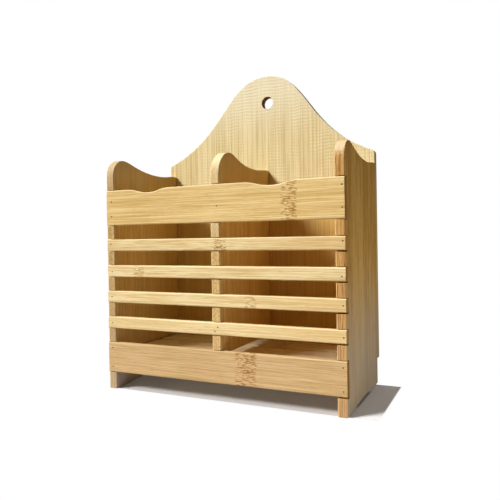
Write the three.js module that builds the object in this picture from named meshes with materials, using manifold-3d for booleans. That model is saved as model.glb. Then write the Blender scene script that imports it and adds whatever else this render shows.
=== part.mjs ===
// Bamboo utensil drying rack that stands on a shelf or hangs from the hole in its back board.
// Two side boards and a divider carry a top rail, four slats and a bottom rail in front.
// Millimetres, +Z up, the front faces -Y. The origin is the middle of the base, on the shelf.

import * as THREE from "three";
import { mergeVertices } from "three/addons/utils/BufferGeometryUtils.js";
import Module from "manifold-3d";

const wasm = await Module();
wasm.setup();

// Overall sizes
const rackWidth = 210; // over the outer faces of the side boards
const boxDepth = 101; // front edges of the side boards to the back board
const edgeRound = 1.5; // sanded edge of a board
const largestRound = 0.4; // of a board's thickness, so that a flat edge is left between the rounds
const clearance = 0.3; // gap between a piece and the piece that it sits in or against

// Side boards and divider
const sideThickness = 7.5;
const dividerThickness = 7.5;
const dividerShift = 0.9; // the divider stands a little right of the middle
const dividerBottom = 36.4; // the divider stops short of the floor
const crestHeight = 197.8; // highest point of the top edge, near the front
const sideCrestRound = 14.5; // radius of the top front corner of a side board
const dividerCrestRound = 21.5; // the divider's corner is rounder
const crestRun = 11; // how slowly the top edge leaves the crest
const hollowHeight = 189.2; // lowest point of the top edge
const hollowDepth = 69.5; // distance of that point behind the front edge
const hollowRun = 32; // how slowly the top edge comes down into the hollow
const rearHeight = 191.4; // top edge where it meets the back board
const rearRun = 14; // how slowly the top edge rises from the hollow to the rear
const archHeight = 2; // relief under a side board
const padLength = 9; // foot left in front of and behind the relief

// Rails and slats, from the shelf upwards
const footHeight = 14.4; // shelf to the bottom rail
const bottomRailHeight = 25.6;
const slatHeight = 10;
const slatCount = 4;
const railGap = 12.1; // open height between one rail and the next
const topRailHeight = 30;
const railThickness = 5;
const railProud = 0.5; // how far a rail stands out of the notches
const railCorner = 2; // corner of a rail seen from the front
const scoopDepth = 3.1; // shallow scoops in the top edge of the top rail
const scoops = [
  { middle: -62.5, length: 43 },
  { middle: 48.5, length: 49 },
];

// Floor
const floorHeight = 31; // upper face of the floor boards
const floorThickness = 5;
const floorBoardCount = 3;
const floorBoardDepth = 28.5; // front to back
const grooveDepth = 2.5; // groove in a side board that holds the floor

// Back board
const backThickness = 7.5;
const backBottom = 21.3;
const shoulderHeight = 202.4; // where the outline would meet the board's side
const shoulderRound = 2.5;
const shoulderAngle = THREE.MathUtils.degToRad(22); // rise of the outline at the shoulder
const shoulderRun = 70; // how slowly the outline leaves the shoulder
const crownHeight = 281;
const crownShift = 2.9; // the crown was sawn a little right of the middle
const crownRun = 41.6; // how slowly the outline leaves the crown
const hangingHoleDiameter = 11.6;
const hangingHoleDrop = 25.3; // middle of the hole below the crown
const hangingHoleShift = 4.6;

// Nails
const nailLength = 18;
const nailDiameter = 1.2;
const nailHeadDiameter = 1.6;
const nailHeadHeight = 0.8;
const nailTip = 2;
const nailSink = 0.3; // how deep a head lies under the face
const rearNailRises = [0.16, 0.5, 0.84]; // shares of the upright's height behind the back board

// Fineness of the round stretches
const curveSteps = 10; // in each curve of a shaped outline
const railSteps = 5; // in each curve of a rail's outline
const roundSteps = 2;
const holeSides = 24;
const nailSides = 6;
const mergeTolerance = 1e-4; // corners closer than this are one corner

// Places that several pieces share
const overallDepth = railProud + boxDepth + backThickness;
const frontY = railProud - overallDepth / 2;
const backY = frontY + boxDepth;
const uprightLength = boxDepth - clearance;
const sideX = (rackWidth - sideThickness) / 2;
const railInset = railThickness - railProud; // depth of a rail in its notches
const hangingHoleHeight = crownHeight - hangingHoleDrop;

const uprights = {
  side_left: { x: -sideX, bottom: 0, thickness: sideThickness, crestRound: sideCrestRound },
  divider: {
    x: dividerShift,
    bottom: dividerBottom,
    thickness: dividerThickness,
    crestRound: dividerCrestRound,
  },
  side_right: { x: sideX, bottom: 0, thickness: sideThickness, crestRound: sideCrestRound },
};

// Each nail through a rail is given as the rise, a share of the rail's height, at which it was
// driven in, and the shift, in mm, from the middle of the upright behind it.
const railNails = {
  top_rail: {
    side_left: [{ rise: 0.68, shift: 1.5 }, { rise: 0.25, shift: 1.5 }],
    divider: [{ rise: 0.43, shift: 2 }],
    side_right: [{ rise: 0.81, shift: 1.8 }, { rise: 0.27, shift: 1.8 }],
  },
  slat_1: {
    side_left: [{ rise: 0.62, shift: 0.3 }],
    divider: [{ rise: 0.22, shift: 2 }],
    side_right: [{ rise: 0.66, shift: 1.8 }],
  },
  slat_2: {
    side_left: [{ rise: 0.44, shift: 1.2 }],
    side_right: [{ rise: 0.36, shift: 0.8 }],
  },
  slat_3: {
    side_left: [{ rise: 0.5, shift: 0.5 }],
    side_right: [{ rise: 0.5, shift: 1.5 }],
  },
  slat_4: {
    side_left: [{ rise: 0.46, shift: 0.8 }],
    divider: [{ rise: 0.63, shift: 1.4 }, { rise: 0.3, shift: -1.2 }],
    side_right: [{ rise: 0.46, shift: 1.5 }],
  },
  bottom_rail: {
    side_left: [{ rise: 0.82, shift: 0.5 }, { rise: 0.18, shift: 0.5 }],
    side_right: [{ rise: 0.82, shift: 0.8 }, { rise: 0.16, shift: 0.8 }],
  },
};

// The rails from the bottom upwards, each with the height of its lower edge
function stackRails() {
  const stack = [{ name: "bottom_rail", bottom: footHeight, height: bottomRailHeight }];
  for (let i = slatCount; i >= 1; i--) stack.push({ name: `slat_${i}`, height: slatHeight });
  stack.push({ name: "top_rail", height: topRailHeight });
  for (let i = 1; i < stack.length; i++) {
    stack[i].bottom = stack[i - 1].bottom + stack[i - 1].height + railGap;
  }
  return stack;
}
const rails = stackRails();

// Materials
function bamboo(colour) {
  return new THREE.MeshStandardMaterial({ color: colour, roughness: 0.55, metalness: 0 });
}
const paleBamboo = bamboo(0xe3c083);
const warmBamboo = bamboo(0xdcb176);
const floorBamboo = bamboo(0xc9a062);
const steel = new THREE.MeshStandardMaterial({ color: 0x6b6259, roughness: 0.5, metalness: 0.9 });

// Solids for joining and cutting
function toSolid(geometry) {
  const bare = geometry.clone();
  bare.deleteAttribute("normal");
  bare.deleteAttribute("uv");
  const merged = mergeVertices(bare, mergeTolerance);
  return new wasm.Manifold(
    new wasm.Mesh({
      numProp: 3,
      vertProperties: new Float32Array(merged.attributes.position.array),
      triVerts: new Uint32Array(merged.index.array),
    }),
  );
}

function toGeometry(solid) {
  const { vertProperties, triVerts } = solid.getMesh();
  const geometry = new THREE.BufferGeometry();
  geometry.setAttribute("position", new THREE.BufferAttribute(vertProperties, 3));
  geometry.setIndex(new THREE.BufferAttribute(triVerts, 1));
  const flat = geometry.toNonIndexed();
  flat.computeVertexNormals();
  return flat;
}

function cut(geometry, cutters) {
  return toGeometry(cutters.reduce((rest, cutter) => rest.subtract(toSolid(cutter)), toSolid(geometry)));
}

// A board sawn to an outline, with sanded edges. Its thickness lies evenly about z = 0.
function board(outline, thickness, steps) {
  const round = Math.min(edgeRound, largestRound * thickness);
  const geometry = new THREE.ExtrudeGeometry(outline, {
    depth: thickness - 2 * round,
    bevelEnabled: true,
    bevelThickness: round,
    bevelSize: round,
    bevelOffset: -round,
    bevelSegments: roundSteps,
    curveSegments: steps,
  });
  return geometry.translate(0, 0, round - thickness / 2);
}

// A box given by its lowest and highest corners
function block(low, high) {
  const size = high.clone().sub(low);
  const middle = low.clone().addScaledVector(size, 0.5);
  return new THREE.BoxGeometry(size.x, size.y, size.z).translate(middle.x, middle.y, middle.z);
}

// Stands a board with its outline in x and y so that its outline lies along Y and Z
function acrossWidth(geometry) {
  return geometry.applyMatrix4(
    new THREE.Matrix4().makeBasis(
      new THREE.Vector3(0, 1, 0),
      new THREE.Vector3(0, 0, 1),
      new THREE.Vector3(1, 0, 0),
    ),
  );
}

// Stands a board with its outline in x and y so that it faces the front
function facingFront(geometry) {
  return geometry.rotateX(Math.PI / 2);
}

// A nail along +Y with its head at the origin, or the hole for it when room is given
function nailShape(room) {
  const head = nailHeadDiameter / 2 + room;
  const shank = nailDiameter / 2 + room;
  const mouth = room > 0 ? -(nailSink + edgeRound) : 0;
  const end = nailLength + room;
  const profile = [
    new THREE.Vector2(0, mouth),
    new THREE.Vector2(head, mouth),
    new THREE.Vector2(head, nailHeadHeight + room),
    new THREE.Vector2(shank, nailHeadHeight + room),
    new THREE.Vector2(shank, end - nailTip),
    new THREE.Vector2(0, end),
  ];
  return new THREE.LatheGeometry(profile, nailSides);
}

// Nail places along X and Z, with the height taken from the shelf
function railNailPlaces(rail) {
  const places = [];
  for (const [upright, nails] of Object.entries(railNails[rail.name] ?? {})) {
    nails.forEach(({ rise, shift }, i) => {
      places.push({
        name: `nail_${rail.name}_${upright}_${i + 1}`,
        upright,
        x: uprights[upright].x + shift,
        z: rail.bottom + rise * rail.height,
      });
    });
  }
  return places;
}

function rearNailPlaces(name) {
  const { x, bottom } = uprights[name];
  const low = Math.max(bottom, backBottom);
  return rearNailRises.map((rise, i) => ({
    name: `nail_back_${name}_${i + 1}`,
    upright: name,
    x,
    z: low + rise * (rearHeight - low),
  }));
}

const frontNails = rails.flatMap(railNailPlaces);
const rearNails = Object.keys(uprights).flatMap(rearNailPlaces);
const nailHeadY = frontY - railProud + nailSink; // front nails
const rearHeadY = backY + backThickness - nailSink; // nails through the back board

// Side boards and divider: local y runs back from the front edge, local z up from the shelf
function uprightOutline(bottom, crestRound) {
  const shape = new THREE.Shape();
  const standsOnShelf = bottom === 0;
  shape.moveTo(0, bottom);
  if (standsOnShelf) {
    shape.lineTo(padLength, 0);
    shape.quadraticCurveTo(uprightLength / 2, 2 * archHeight, uprightLength - padLength, 0);
  }
  shape.lineTo(uprightLength, bottom);
  shape.lineTo(uprightLength, rearHeight);
  shape.bezierCurveTo(
    uprightLength - rearRun,
    rearHeight,
    hollowDepth + rearRun,
    hollowHeight,
    hollowDepth,
    hollowHeight,
  );
  shape.bezierCurveTo(
    hollowDepth - hollowRun,
    hollowHeight,
    crestRound + crestRun,
    crestHeight,
    crestRound,
    crestHeight,
  );
  shape.absarc(crestRound, crestHeight - crestRound, crestRound, Math.PI / 2, Math.PI, false);
  shape.closePath();
  return shape;
}

function railNotches(thickness) {
  const half = thickness / 2 + clearance;
  return rails.map(({ bottom, height }) =>
    block(
      new THREE.Vector3(-half, -clearance, bottom - clearance),
      new THREE.Vector3(half, railInset + clearance, bottom + height + clearance),
    ),
  );
}

function floorGroove(name) {
  const inward = name === "side_left" ? 1 : -1;
  const face = (inward * sideThickness) / 2;
  const deep = face - inward * (grooveDepth + clearance);
  const open = face + inward * clearance;
  return block(
    new THREE.Vector3(Math.min(deep, open), -clearance, floorHeight - floorThickness - clearance),
    new THREE.Vector3(Math.max(deep, open), uprightLength + clearance, floorHeight + clearance),
  );
}

function upright(name) {
  const { x, bottom, thickness, crestRound } = uprights[name];
  const cutters = railNotches(thickness);
  if (name !== "divider") cutters.push(floorGroove(name));
  for (const nail of frontNails.filter((n) => n.upright === name)) {
    cutters.push(nailShape(clearance).translate(nail.x - x, nailHeadY - frontY, nail.z));
  }
  for (const nail of rearNails.filter((n) => n.upright === name)) {
    const hole = nailShape(clearance).rotateZ(Math.PI);
    cutters.push(hole.translate(nail.x - x, rearHeadY - frontY, nail.z));
  }
  const blank = board(uprightOutline(bottom, crestRound), thickness, curveSteps);
  const geometry = cut(acrossWidth(blank), cutters);
  const mesh = new THREE.Mesh(geometry, warmBamboo.clone());
  mesh.name = name;
  mesh.position.set(x, frontY, 0);
  return mesh;
}

// Rails and slats: local z runs up from the lower edge, local y = 0 is the middle of the rail
function railOutline(name, height) {
  const side = rackWidth / 2 - railCorner;
  const top = height - railCorner;
  const shape = new THREE.Shape();
  shape.absarc(side, railCorner, railCorner, -Math.PI / 2, 0, false);
  shape.absarc(side, top, railCorner, 0, Math.PI / 2, false);
  if (name === "top_rail") {
    for (const { middle, length } of [...scoops].reverse()) {
      const left = middle - length / 2;
      const right = middle + length / 2;
      const run = length / 4;
      const low = height - scoopDepth;
      shape.lineTo(right, height);
      shape.bezierCurveTo(right - run, height, middle + run, low, middle, low);
      shape.bezierCurveTo(middle - run, low, left + run, height, left, height);
    }
  }
  shape.absarc(-side, top, railCorner, Math.PI / 2, Math.PI, false);
  shape.absarc(-side, railCorner, railCorner, Math.PI, Math.PI * 1.5, false);
  shape.closePath();
  return shape;
}

function railMesh(rail) {
  const y = frontY - railProud + railThickness / 2;
  const cutters = frontNails
    .filter((nail) => nail.name.startsWith(`nail_${rail.name}_`))
    .map((nail) => nailShape(clearance).translate(nail.x, nailHeadY - y, nail.z - rail.bottom));
  const blank = board(railOutline(rail.name, rail.height), railThickness, railSteps);
  const geometry = cut(facingFront(blank), cutters);
  const mesh = new THREE.Mesh(geometry, paleBamboo.clone());
  mesh.name = rail.name;
  mesh.position.set(0, y, rail.bottom);
  return mesh;
}

// Floor boards side by side from the bottom rail to the back board, with drain gaps between
function floorBoards() {
  const first = frontY + railInset + clearance;
  const last = backY - clearance;
  const gap = (last - first - floorBoardCount * floorBoardDepth) / (floorBoardCount - 1);
  const length = rackWidth - 2 * sideThickness + 2 * grooveDepth;
  const outline = new THREE.Shape();
  outline.moveTo(-length / 2, 0);
  outline.lineTo(length / 2, 0);
  outline.lineTo(length / 2, floorBoardDepth);
  outline.lineTo(-length / 2, floorBoardDepth);
  outline.closePath();
  return Array.from({ length: floorBoardCount }, (_, i) => {
    const mesh = new THREE.Mesh(board(outline, floorThickness, 1), floorBamboo.clone());
    mesh.name = `floor_board_${i + 1}`;
    mesh.position.set(0, first + i * (floorBoardDepth + gap), floorHeight - floorThickness / 2);
    return mesh;
  });
}

// Back board: local z runs up from the shelf, local y = 0 is the middle of its thickness
function backOutline() {
  const half = rackWidth / 2;
  const along = new THREE.Vector2(Math.cos(shoulderAngle), Math.sin(shoulderAngle));
  const start = along.clone().multiplyScalar(shoulderRound);
  const handle = along.clone().multiplyScalar(shoulderRun);
  const shape = new THREE.Shape();
  shape.moveTo(-half, backBottom);
  shape.lineTo(half, backBottom);
  shape.lineTo(half, shoulderHeight - shoulderRound);
  shape.quadraticCurveTo(half, shoulderHeight, half - start.x, shoulderHeight + start.y);
  shape.bezierCurveTo(
    half - handle.x,
    shoulderHeight + handle.y,
    crownShift + crownRun,
    crownHeight,
    crownShift,
    crownHeight,
  );
  shape.bezierCurveTo(
    crownShift - crownRun,
    crownHeight,
    handle.x - half,
    shoulderHeight + handle.y,
    start.x - half,
    shoulderHeight + start.y,
  );
  shape.quadraticCurveTo(-half, shoulderHeight, -half, shoulderHeight - shoulderRound);
  shape.closePath();
  return shape;
}

function backBoard() {
  const y = backY + backThickness / 2;
  const hangingHole = new THREE.CylinderGeometry(
    hangingHoleDiameter / 2,
    hangingHoleDiameter / 2,
    backThickness + 2 * clearance,
    holeSides,
  ).translate(hangingHoleShift, 0, hangingHoleHeight);
  const nailHoles = rearNails.map((nail) =>
    nailShape(clearance).rotateZ(Math.PI).translate(nail.x, rearHeadY - y, nail.z),
  );
  const blank = board(backOutline(), backThickness, curveSteps);
  const geometry = cut(facingFront(blank), [hangingHole, ...nailHoles]);
  const mesh = new THREE.Mesh(geometry, warmBamboo.clone());
  mesh.name = "back_board";
  mesh.position.set(0, y, 0);
  return mesh;
}

function nailMesh(nail, y, turn) {
  const mesh = new THREE.Mesh(nailShape(0), steel.clone());
  mesh.name = nail.name;
  mesh.position.set(nail.x, y, nail.z);
  mesh.rotation.z = turn;
  return mesh;
}

// Assembly
const rack = new THREE.Group();
const carcass = new THREE.Group();
const front = new THREE.Group();
const fasteners = new THREE.Group();
carcass.add(backBoard(), ...Object.keys(uprights).map(upright), ...floorBoards());
front.add(...rails.map(railMesh));
fasteners.add(...frontNails.map((nail) => nailMesh(nail, nailHeadY, 0)));
fasteners.add(...rearNails.map((nail) => nailMesh(nail, rearHeadY, Math.PI)));
rack.add(carcass, front, fasteners);

export default rack;
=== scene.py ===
"""Fine pieces, finishes, light and camera of a bamboo utensil drying rack.

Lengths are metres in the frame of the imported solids: X to the right, Y from the front
to the back board and Z up from the shelf. Finishes and fades give theirs in millimetres.
"""

import logging
import math
import random
from dataclasses import dataclass, field, replace
from enum import Enum
from typing import Sequence

import bmesh
import bpy
from mathutils import Matrix, Vector, noise
from mathutils.geometry import interpolate_bezier


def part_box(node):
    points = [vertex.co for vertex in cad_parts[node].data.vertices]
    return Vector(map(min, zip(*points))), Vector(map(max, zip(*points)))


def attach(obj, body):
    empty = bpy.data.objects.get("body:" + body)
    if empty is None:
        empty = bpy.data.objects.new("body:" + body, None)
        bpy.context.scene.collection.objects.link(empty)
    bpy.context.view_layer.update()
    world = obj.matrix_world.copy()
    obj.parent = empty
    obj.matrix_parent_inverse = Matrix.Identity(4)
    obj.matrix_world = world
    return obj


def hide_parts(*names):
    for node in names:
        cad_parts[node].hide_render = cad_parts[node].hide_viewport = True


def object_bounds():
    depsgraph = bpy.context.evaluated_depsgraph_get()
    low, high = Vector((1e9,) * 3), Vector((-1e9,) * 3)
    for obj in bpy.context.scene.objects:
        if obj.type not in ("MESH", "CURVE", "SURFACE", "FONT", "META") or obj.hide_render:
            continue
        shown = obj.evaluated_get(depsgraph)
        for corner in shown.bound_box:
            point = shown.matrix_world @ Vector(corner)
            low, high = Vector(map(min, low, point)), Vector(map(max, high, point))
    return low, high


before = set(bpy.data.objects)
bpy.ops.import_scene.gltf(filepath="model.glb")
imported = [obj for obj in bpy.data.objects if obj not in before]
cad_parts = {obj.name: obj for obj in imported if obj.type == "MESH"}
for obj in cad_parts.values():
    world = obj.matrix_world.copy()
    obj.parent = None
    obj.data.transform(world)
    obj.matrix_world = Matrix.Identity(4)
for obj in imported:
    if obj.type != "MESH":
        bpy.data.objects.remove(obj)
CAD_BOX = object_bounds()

MM = 0.001
LOG = logging.getLogger("drying_rack")

Colour = tuple[float, float, float, float]
Triple = tuple[float, float, float]
Span = tuple[float, float]
Socket = bpy.types.NodeSocket
Shape = bmesh.types.BMesh
Piece = bpy.types.Object


def shade(red: int, green: int, blue: int) -> Colour:
    """Turn a display colour into the linear colour that a shader takes.

    Args:
        red: Red as shown on a screen, 0 to 255.
        green: Green as shown on a screen, 0 to 255.
        blue: Blue as shown on a screen, 0 to 255.

    Returns:
        The linear colour with full alpha.
    """

    def linear(value: int) -> float:
        """Undo the screen's curve for one channel."""
        part = value / 255
        return part / 12.92 if part <= 0.04045 else ((part + 0.055) / 1.055) ** 2.4

    return (linear(red), linear(green), linear(blue), 1.0)


BLACK = shade(0, 0, 0)
WHITE = shade(255, 255, 255)


class Facing(Enum):
    """The way a board stands, named after the view that shows its outline."""

    FRONT = (0, 2, 1)
    SIDE = (1, 2, 0)
    LEVEL = (0, 1, 2)

    def place(self, across: float, up: float, depth: float) -> Vector:
        """Put an outline's point and a depth into the frame.

        Args:
            across: The outline's first coordinate.
            up: The outline's second coordinate.
            depth: The place along the board's thickness.

        Returns:
            The point in the frame.
        """
        point = Vector((0.0, 0.0, 0.0))
        for axis, value in zip(self.value, (across, up, depth)):
            point[axis] = value
        return point


class Grain(Enum):
    """The frame's axes that run along the fibres, across the strips and through the board."""

    RAIL = "XZY"
    UPRIGHT = "ZYX"
    BACK = "ZXY"
    FLOOR = "XYZ"


class LampKind(Enum):
    """Blender's names for the kinds of lamp."""

    DISTANT = "SUN"
    PANEL = "AREA"


class Graph:
    """Adds nodes to a node tree and links or sets their inputs."""

    def __init__(self, tree: bpy.types.NodeTree) -> None:
        """Start with an empty tree."""
        self.tree = tree
        tree.nodes.clear()

    def feed(self, socket: Socket, value: object) -> None:
        """Link another socket to an input, or set its value.

        Args:
            socket: The input.
            value: The other socket, or the value.
        """
        if isinstance(value, Socket):
            self.tree.links.new(value, socket)
        else:
            socket.default_value = value

    def node(self, kind: str, inputs: dict | None = None, **settings: object) -> bpy.types.Node:
        """Add a node.

        Args:
            kind: The node's type, without the words ShaderNode before it.
            inputs: Values or sockets for its inputs, by name or number.
            **settings: Attributes of the node itself.

        Returns:
            The new node.
        """
        made = self.tree.nodes.new(kind if kind.startswith("NodeGroup") else "ShaderNode" + kind)
        for key, value in settings.items():
            setattr(made, key, value)
        for key, value in (inputs or {}).items():
            self.feed(made.inputs[key], value)
        return made

    def math(self, operation: str, *values: object, clamp: bool = False) -> Socket:
        """Add a Math node and give its result."""
        settings = {"operation": operation, "use_clamp": clamp}
        return self.node("Math", dict(enumerate(values)), **settings).outputs[0]

    def chain(self, operation: str, values: Sequence[object]) -> object:
        """Join any number of values, two at a time.

        Args:
            operation: The Math node's operation.
            values: The values.

        Returns:
            The result.
        """
        result = values[0]
        for value in values[1:]:
            result = self.math(operation, result, value)
        return result

    def total(self, *values: object) -> object:
        """Add up any number of values."""
        return self.chain("ADD", values)

    def times(self, *values: object) -> object:
        """Multiply any number of values."""
        return self.chain("MULTIPLY", values)

    def most(self, *values: object) -> object:
        """Give the largest of any number of values."""
        return self.chain("MAXIMUM", values)

    def over(self, value: object, length: object) -> Socket:
        """Count how many lengths a value has."""
        return self.math("DIVIDE", value, length)

    def clamp(self, value: object) -> Socket:
        """Keep a value between 0 and 1."""
        return self.math("MULTIPLY", value, 1.0, clamp=True)

    def weigh(self, marks: dict[str, Socket], weights: dict[str, float]) -> object:
        """Add up the marks that weights names, each times its weight."""
        return self.total(*(self.times(marks[name], weight) for name, weight in weights.items()))

    def swing(self, value: object, reach: object) -> object:
        """Turn a value about one half into one that swings reach to either side of zero."""
        return self.times(self.math("SUBTRACT", value, 0.5), reach)

    def vector(self, x: object, y: object, z: object) -> Socket:
        """Join three values into a vector."""
        return self.node("CombineXYZ", {0: x, 1: y, 2: z}).outputs[0]

    def split(self, vector: Socket) -> dict[str, Socket]:
        """Split a vector into its X, Y and Z."""
        parts = self.node("SeparateXYZ", {0: vector})
        return {name: parts.outputs[name] for name in "XYZ"}

    def step(self, value: object, low: float, high: float) -> Socket:
        """Rise smoothly from 0 at low to 1 at high, or fall where low is above high.

        Args:
            value: The value to judge.
            low: Where the result is 0.
            high: Where the result is 1.

        Returns:
            The result, 0 to 1.
        """
        near, far = (1.0, 0.0) if low > high else (0.0, 1.0)
        inputs = {"Value": value, "From Min": min(low, high), "From Max": max(low, high)}
        inputs |= {"To Min": near, "To Max": far}
        return self.node("MapRange", inputs, interpolation_type="SMOOTHSTEP").outputs["Result"]

    def noise(self, detail: float, *parts: object, distortion: float = 0.0) -> Socket:
        """Add smooth noise.

        Args:
            detail: How many finer swells it has.
            *parts: Three values, each by itself or with the length of one swell.
            distortion: How far the swells are bent.

        Returns:
            The noise.
        """
        place = self.vector(*(self.over(*part) if isinstance(part, tuple) else part for part in parts))
        inputs = {"Vector": place, "Scale": 1.0, "Detail": detail, "Distortion": distortion}
        return self.node("TexNoise", inputs).outputs[0]

    def mix(self, factor: object, first: object, second: object, blend: str = "MIX") -> Socket:
        """Mix two colours."""
        settings = {"data_type": "RGBA", "blend_type": blend, "clamp_factor": True}
        return self.node("Mix", {0: factor, 6: first, 7: second}, **settings).outputs[2]

    def toward(self, outward: Socket, side: Triple, edge: Span) -> Socket:
        """Mask the surface that faces a side."""
        turned = self.node("VectorMath", {0: outward, 1: side}, operation="DOT_PRODUCT")
        return self.step(turned.outputs["Value"], *edge)

    def beyond(self, value: Socket, low: float, high: float) -> object:
        """Give how far a value lies outside a range."""
        return self.most(self.math("SUBTRACT", low, value), self.math("SUBTRACT", value, high), 0.0)

    def reach(self, first: object, second: object) -> Socket:
        """Give the distance that two lengths at right angles make."""
        return self.math("SQRT", self.total(*(self.math("POWER", value, 2.0) for value in (first, second))))


def new_material(name: str) -> tuple[bpy.types.Material, Graph]:
    """Make a material with an empty graph.

    Args:
        name: The material's name.

    Returns:
        The material and its graph.
    """
    material = bpy.data.materials.new(name)
    material.use_nodes = True
    return material, Graph(material.node_tree)


def finish_surface(graph: Graph, inputs: dict[str, object]) -> None:
    """Add the shader with its inputs and make it the material's surface."""
    surface = graph.node("BsdfPrincipled", inputs)
    graph.node("OutputMaterial", {"Surface": surface.outputs[0]})


class EffectGroup:
    """A shader node group that several finishes share."""

    def __init__(self, name: str, inputs: dict[str, object], outputs: dict[str, str]) -> None:
        """Make the group's tree and its sockets.

        Args:
            name: The group's name.
            inputs: Default of each input; a tuple of three is a vector, of four a colour.
            outputs: Kind of each output, Float or Color.
        """
        self.tree = bpy.data.node_groups.new(name, "ShaderNodeTree")
        self.graph = Graph(self.tree)
        for label, default in inputs.items():
            kinds = {3: "NodeSocketVector", 4: "NodeSocketColor"}
            kind = kinds[len(default)] if isinstance(default, tuple) else "NodeSocketFloat"
            socket = self.tree.interface.new_socket(label, in_out="INPUT", socket_type=kind)
            socket.default_value = default
        for label, kind in outputs.items():
            self.tree.interface.new_socket(label, in_out="OUTPUT", socket_type="NodeSocket" + kind)
        self.inputs = self.graph.node("NodeGroupInput").outputs
        self.results = self.graph.node("NodeGroupOutput").inputs

    def give(self, label: str, value: Socket) -> None:
        """Link a result to one of the group's outputs."""
        self.graph.feed(self.results[label], value)


# Inputs of the bamboo group, which are fields of a finish too
LENGTHS = (
    "strip_width", "fibre_length", "fibre_pitch", "waviness",
    "knuckle_place", "knuckle_spacing", "knuckle_reach", "bundle_length",
)
SHARES = (
    "seed", "knuckle_scatter", "knuckle_strength", "strip_contrast",
    "fibre_contrast", "fleck_strength", "mottle", "gloss",
)
SHADES = ("pale", "middle", "dark")

# How much each mark adds to the tone, the stain, the roughness and the height
TONE = {"glints": 0.9, "pits": -0.9, "knuckles": -0.12}
STAIN = {"pits": 0.42, "dots": 0.5, "flecks": 0.5, "seams": 0.3, "knuckles": 0.1}
ROUGHNESS = {"pits": 0.2}
HEIGHT = {"pits": -0.4, "seams": -0.6, "flecks": -0.3, "dots": -0.4}


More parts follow.
